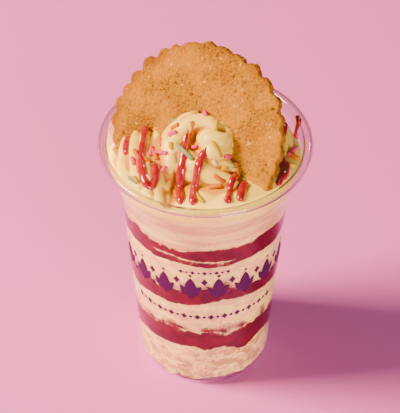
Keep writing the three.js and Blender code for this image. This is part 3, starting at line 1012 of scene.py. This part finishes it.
def relief(x, y, seed):
    slow = 0.4 * flat_noise(x, y, 0.06, seed)
    rough = 0.55 + 1.5 * max(0.0, 0.3 + flat_noise(x, y, 0.09, seed + 2))
    grain = 0.12 * flat_noise(x, y, 0.6, seed + 5)
    grain += 0.2 * flat_noise(x, y, 1.5, seed + 9)
    pit = noise.noise(Vector((x * 0.5, y * 0.7, seed + 20)))
    return slow + rough * (grain - 0.7 * max(0.0, pit - 0.38) / 0.4)


def biscuit_rings(z, rows, sign, seed):
    """Rings of one face, from the middle to where the edge begins to round."""
    rings = []
    for share in np.linspace(0, 1, rows + 1)[1:]:
        fade = 1 - smoothstep(0.97, 1.0, share) * 0.8
        ring = []
        for reach, turn in zip((edge - ROUND_EDGE) * share, turns):
            x, y = reach * math.cos(turn), reach * math.sin(turn)
            ring.append(on_biscuit(x, y, z + sign * fade * relief(x, y, seed)))
        rings.append(ring)
    return rings


def edge_band(share):
    """One ring of the rounded, ragged edge, at a share of the thickness behind the front."""
    z = -thick * share
    bulge = ROUND_EDGE * (1 - (abs(2 * share - 1)) ** 2.6)
    ring = []
    for out, turn in zip(edge, turns):
        reach = out - ROUND_EDGE + bulge + 0.7 * round_noise(turn, 30, z * 1.2)
        ring.append(on_biscuit(reach * math.cos(turn), reach * math.sin(turn), z))
    return ring


rows = 90
thick = BISCUIT["thick"]
front = biscuit_rings(0.0, rows, 1, FRONT_SEED)
back = biscuit_rings(-thick, rows // 2, -1, BACK_SEED)
side = [edge_band(step / EDGE_STEPS) for step in range(1, EDGE_STEPS)]
tip = [on_biscuit(0, 0, relief(0, 0, FRONT_SEED))]
tail = [on_biscuit(0, 0, -thick - relief(0, 0, BACK_SEED))]
biscuit = piece("crimped_biscuit", *skin([tail, *back, *side[::-1], *front[::-1], tip]))
print("biscuit:", triangles(biscuit), "triangles")

# %% [markdown]
# The colour is golden tan. It is darker in the pits and at the toasted crimps, and paler where
# flour and sugar grains show. How far a point is from the biscuit's middle gives the toasting.

# %% Biscuit finish
DOUGH = {"light": (0.49, 0.245, 0.002, 1), "warm": (0.40, 0.178, 0.002, 1),
         "sand": (0.66, 0.36, 0.015, 1), "pit": (0.17, 0.052, 0.003, 1),
         "flour": (0.80, 0.50, 0.14, 1), "toast": (0.24, 0.085, 0.004, 1)}
baked = Finish("baked_biscuit", Roughness=0.85, Specular_IOR_Level=0.15)
core = tuple(on_biscuit(0, 0, -thick / 2))
offset = baked.add("ShaderNodeVectorMath", [(0, baked.where), (1, core)], operation="DISTANCE")
toast = baked.ramp(offset.outputs["Value"], BISCUIT["radius"] - 5, BISCUIT["radius"] + 1.5)
cloud = baked.ramp(baked.noise(14, 3), 0.3, 0.7)
sand = baked.ramp(baked.noise(0.9, 2, 0.7), 0.38, 0.66)
rough = baked.ramp(baked.noise(13, 2), 0.40, 0.6, 0.35, 0.9)
dark = baked.ramp(baked.noise(1.4, 3, 0.65), 0.53, 0.66)
fleck = baked.ramp(baked.noise(2.4, 1), 0.68, 0.74)
base = baked.blend(cloud, DOUGH["light"], DOUGH["warm"])
for share, colour, strength in ((sand, "sand", 0.5), (dark, "pit", rough),
                                (fleck, "flour", 0.75), (toast, "toast", 0.55)):
    base = baked.stain(base, share, DOUGH[colour], strength)
baked.colour(base)
baked.bump(baked.times(baked.noise(0.9, 3, 0.7), rough), 1.8, 1.0)
baked.wear(biscuit)

# %% [markdown]
# ## A helper for Geometry Nodes
#
# Ribbons, sprinkles and the printed border repeat a shape or follow a surface, which is what
# Geometry Nodes are for. The class below gives a tree its named inputs and runs it on a piece.

# %% Geometry Nodes helper
class Tree(Nodes):
    """A Geometry Nodes tree, with inputs that are set by name."""

    def __init__(self, name, **inputs):
        super().__init__(bpy.data.node_groups.new(name, "GeometryNodeTree"))
        self.socket("Geometry", "INPUT", "Geometry")
        self.ids = {}
        for label, (kind, value) in inputs.items():
            socket = self.socket(label, "INPUT", kind)
            if value is not None:
                socket.default_value = value
            self.ids[label] = socket.identifier
        self.socket("Geometry", "OUTPUT", "Geometry")
        self.given = self.tree.nodes.new("NodeGroupInput").outputs
        self.result = self.tree.nodes.new("NodeGroupOutput")

    def socket(self, label, side, kind):
        return self.tree.interface.new_socket(label, in_out=side, socket_type="NodeSocket" + kind)

    def stored(self, name, kind):
        """A value that was stored on the points."""
        node = self.add("GeometryNodeInputNamedAttribute", [("Name", name)], data_type=kind)
        return node.outputs["Attribute"]

    def finish(self, geometry, material):
        """Every tree ends alike: instances become real mesh, and the finish is set."""
        real = self.add("GeometryNodeRealizeInstances", [("Geometry", geometry)])
        set_material = self.add("GeometryNodeSetMaterial",
                                [("Geometry", real.outputs[0]), ("Material", material)])
        self.put(set_material.outputs[0], self.result.inputs[0])

    def run(self, made, **values):
        """Puts the tree on an object, sets its inputs, and turns the result into a plain mesh."""
        modifier = made.modifiers.new(self.tree.name, "NODES")
        modifier.node_group = self.tree
        for label, value in values.items():
            modifier[self.ids[label]] = value
        return applied(made)


# %% [markdown]
# ## Ribbons of sauce
#
# The sauce was drizzled over the swirl towards the front, so each ribbon drops onto whatever is
# below it. A ribbon starts as a flat line above the cream. The tree casts each of its points
# straight down onto the cream, evens out the steps, and sweeps a tube of uneven width along it.

# %% Ribbon tree
BULBS = 110.0  # lumps along a ribbon in each metre
HEAD, TAIL = 320.0, 14.0  # how fast a ribbon swells at its start, and thins at its end


def ribbon_tree(material):
    tree = Tree("ribbon_on_cream", Surface=("Object", None), Radius=("Float", 0.0018),
                Spacing=("Float", 0.0006), Seed=("Float", 0.0))
    surface = tree.add("GeometryNodeObjectInfo", [("Object", tree.given["Surface"])],
                       transform_space="RELATIVE")
    curve = tree.add("GeometryNodeMeshToCurve", [("Mesh", tree.given["Geometry"])])
    fine = tree.add("GeometryNodeResampleCurve",
                    [("Curve", curve.outputs[0]), ("Length", tree.given["Spacing"])], mode="LENGTH")
    ray = tree.add("GeometryNodeRaycast", [("Target Geometry", surface.outputs["Geometry"]),
                                           ("Ray Direction", (0, 0, -1)), ("Ray Length", 0.2)])
    dropped = tree.add("GeometryNodeSetPosition",
                       [("Geometry", fine.outputs[0]), ("Selection", ray.outputs["Is Hit"]),
                        ("Position", ray.outputs["Hit Position"])])
    spot = tree.add("GeometryNodeInputPosition")
    blur = tree.add("GeometryNodeBlurAttribute", [("Iterations", 3)], data_type="FLOAT_VECTOR")
    tree.put(spot.outputs[0], blur.inputs["Value"])
    value = [s for s in blur.outputs if s.enabled][0]
    eased = tree.add("GeometryNodeSetPosition",
                     [("Geometry", dropped.outputs[0]), ("Position", value)])
    uneven = tree.add("ShaderNodeTexNoise",
                      [("Scale", BULBS), ("Detail", 1.0), ("W", tree.given["Seed"])],
                      noise_dimensions="4D")
    width = tree.add("ShaderNodeMapRange", [("Value", uneven.outputs["Fac"]), ("From Min", 0.3),
                                            ("From Max", 0.7), ("To Min", 0.72), ("To Max", 1.22)])
    along = tree.add("GeometryNodeSplineParameter")
    head = tree.maths("MINIMUM", tree.times(along.outputs["Length"], HEAD), 1.0)
    rest = tree.maths("SUBTRACT", 1.0, along.outputs["Factor"])
    tail = tree.maths("MINIMUM", tree.maths("ADD", tree.times(rest, TAIL), 0.25), 1.0)
    reach = tree.times(tree.times(tree.maths("MAXIMUM", head, 0.35), tail), width.outputs[0])
    radius = tree.times(reach, tree.given["Radius"])
    sized = tree.add("GeometryNodeSetCurveRadius",
                     [("Curve", eased.outputs[0]), ("Radius", radius)])
    profile = tree.add("GeometryNodeCurvePrimitiveCircle", [("Resolution", 14), ("Radius", 1.0)])
    tube = tree.add("GeometryNodeCurveToMesh",
                    [("Curve", sized.outputs[0]), ("Profile Curve", profile.outputs[0]),
                     ("Fill Caps", True)])
    if "Scale" in tube.inputs:
        tree.put(radius, tube.inputs["Scale"])
    tree.finish(tube.outputs[0], material)
    return tree


# %% [markdown]
# The lines are given as places in the picture and found on the cream like the rolls. Where two
# ribbons run together the tubes overlap, so a fine remesh melts all of them into one glossy body.
# One more streak clings to the inside of the cup at the right, found on the wall in the same way.

# %% Lay the ribbons
SYRUP = {"deep": (0.30, 0.0, 0.014, 1), "bright": (0.46, 0.003, 0.030, 1)}
syrup = Finish("ribbon_sauce", Roughness=0.08, Coat_Weight=1.0, Coat_Roughness=0.03,
               Subsurface_Weight=0.15, Subsurface_Scale=0.0015, Subsurface_Radius=(1.0, 0.2, 0.15),
               Specular_IOR_Level=0.5)
thin = syrup.ramp(syrup.noise(3, 2), 0.35, 0.65)
syrup.colour(syrup.blend(thin, SYRUP["deep"], SYRUP["bright"]))
RIBBONS = [
    [(151, 133), (147, 128), (144, 136), (142, 152), (142, 168), (145, 182), (151, 191)],
    [(154, 160), (156, 170), (155, 181), (151, 191)],
    [(129, 136), (127, 145), (127, 156)],
    [(189, 127), (186, 138), (184, 150), (183, 162), (181, 174), (180, 187), (181, 206)],
    [(207, 145), (203, 156), (199, 164), (197, 176), (194, 189), (193, 207)],
    [(237, 168), (233, 179), (230, 190), (227, 205)],
    [(246, 179), (242, 190), (239, 203)],
    [(281, 156), (283, 167), (281, 178), (277, 187)],
    [(287, 161), (286, 170), (281, 180)],
    [(283, 121), (284, 128), (283, 137)],
]
WALL_STREAK = [(297, 116, 1.0), (299, 122, 1.4), (297, 129, 1.1), (296, 137, 1.4), (294, 143, 0.8)]
HIGH_ABOVE = CUP_HEIGHT + 60


def line_on(surface, corners):
    """A line through the cream below the given places, raised well above it."""
    hits = [seen_at(surface, px, py)[0] for px, py in corners]
    hits = [(h[0], h[1], HIGH_ABOVE) for h in hits if h is not None]
    return smooth_path(hits, 6 * len(hits))[0] if len(hits) > 1 else []


drizzle = ribbon_tree(syrup.material)
surface = surface_of(cream)
runs = []
for number, corners in enumerate(RIBBONS):
    line = line_on(surface, corners)
    if len(line):
        steps = [(i, i + 1) for i in range(len(line) - 1)]
        made = piece(f"ribbon_{number}", line, [], edges=steps)
        runs.append(drizzle.run(made, Surface=cream, Radius=0.0019, Seed=float(number)))

clear_wall = surface_of(cup)
streak = [(*(seen_at(clear_wall, px, py)[0] - (0, 0, CUP_HEIGHT)), radius)
          for px, py, radius in WALL_STREAK]
runs.append(rope("wall_streak", 4, 0, 0, 0.0, 30, streak))
ribbons = melted(joined("sauce_ribbons", runs), 0.42, 4)
print("ribbons:", triangles(ribbons), "triangles")

# %% [markdown]
# ## Sprinkles
#
# A sprinkle is a short rod of coloured sugar with worn ends. Dozens lie flat on the cream, some
# half sunk. Each colour is one piece, because a piece has one finish. The tree puts a shape on
# each point and turns it by two stored directions: along it, and away from what it lies on.

# %% Scatter tree and sprinkle rod
ROD_RADIUS = 0.96
STORED = ("along", "facing", "size")  # what each point carries for the tree


def scatter_tree(name, bend_round_cup=False):
    tree = Tree(name, Shape=("Object", None), Finish=("Material", None))
    shape = tree.add("GeometryNodeObjectInfo", [("Object", tree.given["Shape"])],
                     transform_space="ORIGINAL")
    dots = tree.add("GeometryNodeMeshToPoints", [("Mesh", tree.given["Geometry"])])
    along, facing, size = (tree.stored(label, "FLOAT_VECTOR") for label in STORED)
    laid = tree.add("FunctionNodeAxesToRotation", [(0, along), (1, facing)],
                    primary_axis="X", secondary_axis="Z")
    shapes = tree.add("GeometryNodeInstanceOnPoints",
                      [("Points", dots.outputs[0]), ("Instance", shape.outputs["Geometry"]),
                       ("Rotation", laid.outputs[0]), ("Scale", size)])
    result = on_the_wall(tree, shapes.outputs[0]) if bend_round_cup else shapes.outputs[0]
    tree.finish(result, tree.given["Finish"])
    return tree


def scatter_points(name, spots):
    """Points that carry what the tree reads. A spot is (place, along, facing, size)."""
    made = piece(name, [place for place, *_ in spots], [])
    for which, label in enumerate(STORED, start=1):
        data = made.data.attributes.new(label, "FLOAT_VECTOR", "POINT").data
        data.foreach_set("vector", [float(v) for spot in spots for v in spot[which]])
    return made


def sprinkle_rod():
    """A rod of length 1 and radius 1 along X, with chamfered ends."""
    rings = [[(x / MM, r * math.cos(t) / MM, r * math.sin(t) / MM) for t in turns_of(10)]
             for x, r in ((-0.5, 0.6), (-0.45, 0.97), (0, 1.0), (0.45, 0.97), (0.5, 0.6))]
    return piece("sprinkle_rod", *closed_skin(rings))


# %% [markdown]
# The sprinkles that show in the photograph are placed one by one: each is given by its two ends in
# the picture, 400 points wide, and a ray from the camera finds the cream below each end. The ones
# round the back fall by chance, with a fixed seed.

# %% Find where the sprinkles lie
SHOWN = {
    "yellow": [(212, 141, 222, 157), (217, 121, 215, 131), (194, 192, 203, 203),
               (171, 142, 172, 149), (134, 177, 138, 183), (221, 168, 229, 169),
               (231, 145, 234, 150), (190, 114, 199, 113)],
    "orange": [(192, 121, 192, 135), (172, 129, 179, 125), (160, 136, 162, 147),
               (120, 141, 133, 140), (134, 150, 140, 160), (137, 162, 139, 173),
               (175, 191, 177, 199), (209, 187, 222, 185), (214, 175, 225, 183),
               (221, 181, 237, 180), (234, 164, 240, 166), (236, 168, 237, 175),
               (153, 150, 157, 160), (288, 153, 298, 160), (141, 157, 148, 161)],
    "pink": [(204, 111, 206, 116), (169, 136, 177, 132), (156, 152, 167, 154),
             (152, 147, 150, 156), (117, 131, 120, 134), (132, 158, 135, 165),
             (162, 172, 166, 166), (224, 156, 230, 156), (192, 148, 198, 147),
             (287, 156, 297, 147)],
    "green": [(176, 144, 194, 161), (169, 120, 176, 122), (129, 178, 137, 183),
              (231, 158, 233, 167), (180, 157, 181, 166)],
    "white": [(213, 160, 217, 166), (242, 171, 245, 176), (146, 176, 151, 180)],
}
LONGEST = 9.5
BY_CHANCE, TRIES, SPRINKLE_SEED = 26, 400, 5
FIELD = {"wide": 76, "radius": 39}  # where they may fall, inside the cup


def sprinkle_at(middle, along, up, long):
    size = (long * MM, ROD_RADIUS * MM, ROD_RADIUS * MM)
    return (middle + up * ROD_RADIUS * 0.5, along, up, size)


def count(spots):
    return sum(map(len, spots.values()))


spots = {colour: [] for colour in SHOWN}
for colour, ends in SHOWN.items():
    for x0, y0, x1, y1 in ends:
        (a, up_a), (b, up_b) = seen_at(surface, x0, y0), seen_at(surface, x1, y1)
        if a is None or b is None:
            continue
        apart = np.linalg.norm(b - a)
        spots[colour].append(sprinkle_at((a + b) / 2, (b - a) / apart, (up_a + up_b) / 2,
                                         min(apart, LONGEST)))
by_eye = count(spots)
draw = random_numbers(SPRINKLE_SEED)
for _ in range(TRIES):
    if count(spots) >= by_eye + BY_CHANCE:
        break
    x = next(draw) * FIELD["wide"] - FIELD["wide"] / 2
    y = next(draw) * FIELD["wide"] - FIELD["wide"] / 2
    turn, size = next(draw) * math.pi, next(draw)
    point, up = hit(surface, Vector((x, y, HIGH_ABOVE)), Vector((0, 0, -1)))
    if math.hypot(x, y) > FIELD["radius"] or point is None:
        continue
    if np.dot(point - np.array(BISCUIT["centre"]), facing) > -thick - 1:  # in front of the biscuit
        continue
    along = np.array((math.cos(turn), math.sin(turn), 0))
    along -= up * along.dot(up)
    colour = list(SHOWN)[int(next(draw) * 4)]
    spots[colour].append(sprinkle_at(point, along / np.linalg.norm(along), up, 4.5 + 3 * size))
print("sprinkles placed by eye:", by_eye, "and by chance:", count(spots) - by_eye)

# %% Make the sprinkles
COLOURS = {
    "yellow": (0.58, 0.41, 0.0, 1),
    "orange": (0.58, 0.17, 0.0, 1),
    "pink": (0.72, 0.05, 0.24, 1),
    "green": (0.22, 0.35, 0.23, 1),
    "white": (0.80, 0.64, 0.30, 1),
}
rod = sprinkle_rod()
scatter = scatter_tree("sprinkles_on_cream")
sprinkles = []
for colour, places in spots.items():
    sugar = Finish(f"{colour}_sugar", Base_Color=COLOURS[colour], Roughness=0.45,
                   Specular_IOR_Level=0.1)
    sugar.bump(sugar.noise(0.6, 2), 0.08, 0.5)
    made = scatter_points(f"{colour}_sprinkles", places)
    scatter.run(made, Shape=rod, Finish=sugar.material)
    sprinkles.append(made)
bpy.data.objects.remove(rod)
print("sprinkles:", {o.name: triangles(o) for o in sprinkles})

# %% [markdown]
# ## The printed border
#
# The cup carries a print in dark purple. A plain border stands in its place: a tall row of leaves
# between two fine rows of stars and dots. Each shape is a thin plate, laid flat against the cup by
# the scatter tree, and the tree then bends it round the wall.

# %% Shapes of the border
LIFT, INK = 0.02, 0.10  # how far the print's back and its face stand off the wall, in millimetres


def on_the_wall(tree, shapes):
    """Moves every point of thin plates onto the tapered wall."""
    real = tree.add("GeometryNodeRealizeInstances", [("Geometry", shapes)])
    spot = tree.add("GeometryNodeInputPosition")
    apart = tree.add("ShaderNodeSeparateXYZ", [(0, spot.outputs[0])])
    face = tree.stored("face", "FLOAT")
    slope = wall_radius(1) - wall_radius(0)
    radius = tree.maths("ADD", tree.times(apart.outputs["Z"], slope), (wall_radius(0) + LIFT) * MM)
    radius = tree.maths("ADD", radius, tree.times(face, (INK - LIFT) * MM))
    flat = tree.add("ShaderNodeCombineXYZ", [(0, apart.outputs["X"]), (1, apart.outputs["Y"])])
    way = tree.add("ShaderNodeVectorMath", [(0, flat.outputs[0])], operation="NORMALIZE")
    out = tree.add("ShaderNodeVectorMath", [(0, way.outputs[0])], operation="SCALE")
    tree.put(radius, out.inputs["Scale"])
    high = tree.add("ShaderNodeCombineXYZ", [(2, apart.outputs["Z"])])
    place = tree.add("ShaderNodeVectorMath", [(0, out.outputs[0]), (1, high.outputs[0])],
                     operation="ADD")
    laid = tree.add("GeometryNodeSetPosition",
                    [("Geometry", real.outputs[0]), ("Position", place.outputs[0])])
    return laid.outputs[0]


def plate(name, across_power, up_power):
    """A plate 1 wide and 1 tall. Powers of 1 give a round edge and of 2 or more a point."""
    def bent(value, power):
        return math.copysign(abs(value) ** power, value)

    def ring(share, z):
        return [(share / 2 * bent(math.cos(t), across_power) / MM,
                 share / 2 * bent(math.sin(t), up_power) / MM, z / MM) for t in turns_of(40)]

    rows = ((0.4, 0), (0.7, 0), (1, 0), (1, 1), (0.7, 1), (0.4, 1))
    made = piece(name, *closed_skin([ring(*row) for row in rows]))
    store(made, "face", points_of(made.data)[:, 2])
    return made


def on_cup(degrees, z, wide, tall, leant=0.0):
    """A place on the wall for a shape of a size, with its foot leant to one side."""
    a, lean_by = math.radians(degrees), math.radians(leant)
    outward = np.array((math.sin(a), -math.cos(a), 0))
    level = np.array((math.cos(a), math.sin(a), 0))
    along = level * math.cos(lean_by) + np.array((0, 0, math.sin(lean_by)))
    return (outward * wall_radius(z) + (0, 0, z), along, outward, (wide * MM, tall * MM, MM))


# %% Lay the border
SPREAD = 20.5  # degrees from one bunch of leaves to the next
leaves, stars, dots = [], [], []
for at in np.arange(-3.5, 4) * SPREAD:
    leaves += [on_cup(at, 70.4, 5.4, 14.0), on_cup(at - 4.4, 68.4, 3.0, 8.8, 30),
               on_cup(at + 4.4, 68.4, 3.0, 8.8, -30)]
    dots.append(on_cup(at, 79.0, 1.5, 1.5))
for at in np.arange(-3, 4) * SPREAD:
    dots.append(on_cup(at, 66.0, 1.7, 1.7))
    stars.append(on_cup(at, 75.0, 3.6, 5.0))
# Two rows of stars and dots in turn, each with its count, start, step, height and two sizes.
for count_in_row, start, step, z, star, dot in ((9, -17, 4.25, 81.2, (2.6, 2.6), (1.2, 1.2)),
                                                (23, -58, 5.27, 50.6, (3.4, 4.0), (1.5, 1.5))):
    for k in range(count_in_row):
        row, size = (dots, dot) if k % 2 else (stars, star)
        row.append(on_cup(start + step * k, z, *size))

purple = Finish("purple_print", Base_Color=(0.06, 0.004, 0.09, 1), Roughness=0.5,
                Specular_IOR_Level=0.25)
purple.bump(purple.noise(1.2, 2), 0.02, 0.4)
printing = scatter_tree("print_on_cup", bend_round_cup=True)
border = []
for name, powers, places in (("leaves", (2, 1), leaves), ("stars", (2.5, 2.5), stars),
                             ("dots", (1, 1), dots)):
    shape = plate(f"{name}_plate", *powers)
    made = scatter_points(f"printed_{name}", places)
    border.append(printing.run(made, Shape=shape, Finish=purple.material))
    bpy.data.objects.remove(shape)
print("border:", {o.name: triangles(o) for o in border})

# %% [markdown]
# ## Floor and light
#
# The photograph was taken on pale pink paper that runs from under the cup to the background. A
# large soft light stands on the left, and the cup's shadow falls to the right. A weak light in
# front opens the shadows, and a small one behind draws the rim.

# %% Floor
corners = [(-900, -900, 0), (900, -900, 0), (900, 1500, 0), (-900, 1500, 0)]
floor = piece("floor", corners, [(0, 1, 2, 3)])
paper = Finish("pink_paper", Base_Color=(0.8, 0.196, 0.84, 1), Roughness=0.9)
paper.wear(floor)


# %% Lights
AIM = Vector((0, 0, 0.07))  # the middle of the cup


def soft_light(name, azimuth, elevation, distance, size, power, colour):
    """A square light that faces the middle of the cup. Azimuth 0 is the front, 90 the right."""
    data = bpy.data.lights.new(name, "AREA")
    data.shape, data.size, data.energy, data.color = "SQUARE", size, power, colour
    a, e = math.radians(azimuth), math.radians(elevation)
    way = Vector(at_angle(math.cos(e), a, math.sin(e)))
    light = placed(name, data)
    turn = way.to_track_quat("Z", "Y").to_matrix().to_4x4()
    light.matrix_world = Matrix.Translation(way * distance + AIM) @ turn


soft_light("key_light", -90, 40, 1.6, 0.56, 100, (1.0, 0.60, 0.33))
soft_light("fill_light", 26, 10, 1.2, 0.5, 16, (1.0, 0.68, 0.48))
soft_light("rim_light", 150, 38, 1.3, 0.08, 1.4, (1.0, 0.85, 0.8))
world = bpy.data.worlds.new("studio")
world.use_nodes = True
background = world.node_tree.nodes["Background"]
background.inputs["Color"].default_value = (1.0, 1.1, 0.6, 1)
background.inputs["Strength"].default_value = 0.11
bpy.context.scene.world = world

# %% [markdown]
# ## Join the pieces to the frame
#
# Each finished piece rides on the one body of this part, in place of the solid it stands for. The
# solids stay in the file for the physics, and are hidden in the picture.

# %% Ride and replace
STANDS_FOR = {
    cup: ("plastic", "tumbler"),
    **{made: (node.split("_")[0], node) for node, made in layers.items()},
    cream: ("cream", "piped_cream"),
    biscuit: ("biscuit", "biscuit"),
}
for made, (slot, node) in STANDS_FOR.items():
    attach(made, "root")
    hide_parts(node)
for made in (ribbons, *sprinkles, *border):
    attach(made, "root")
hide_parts("piped_cream")
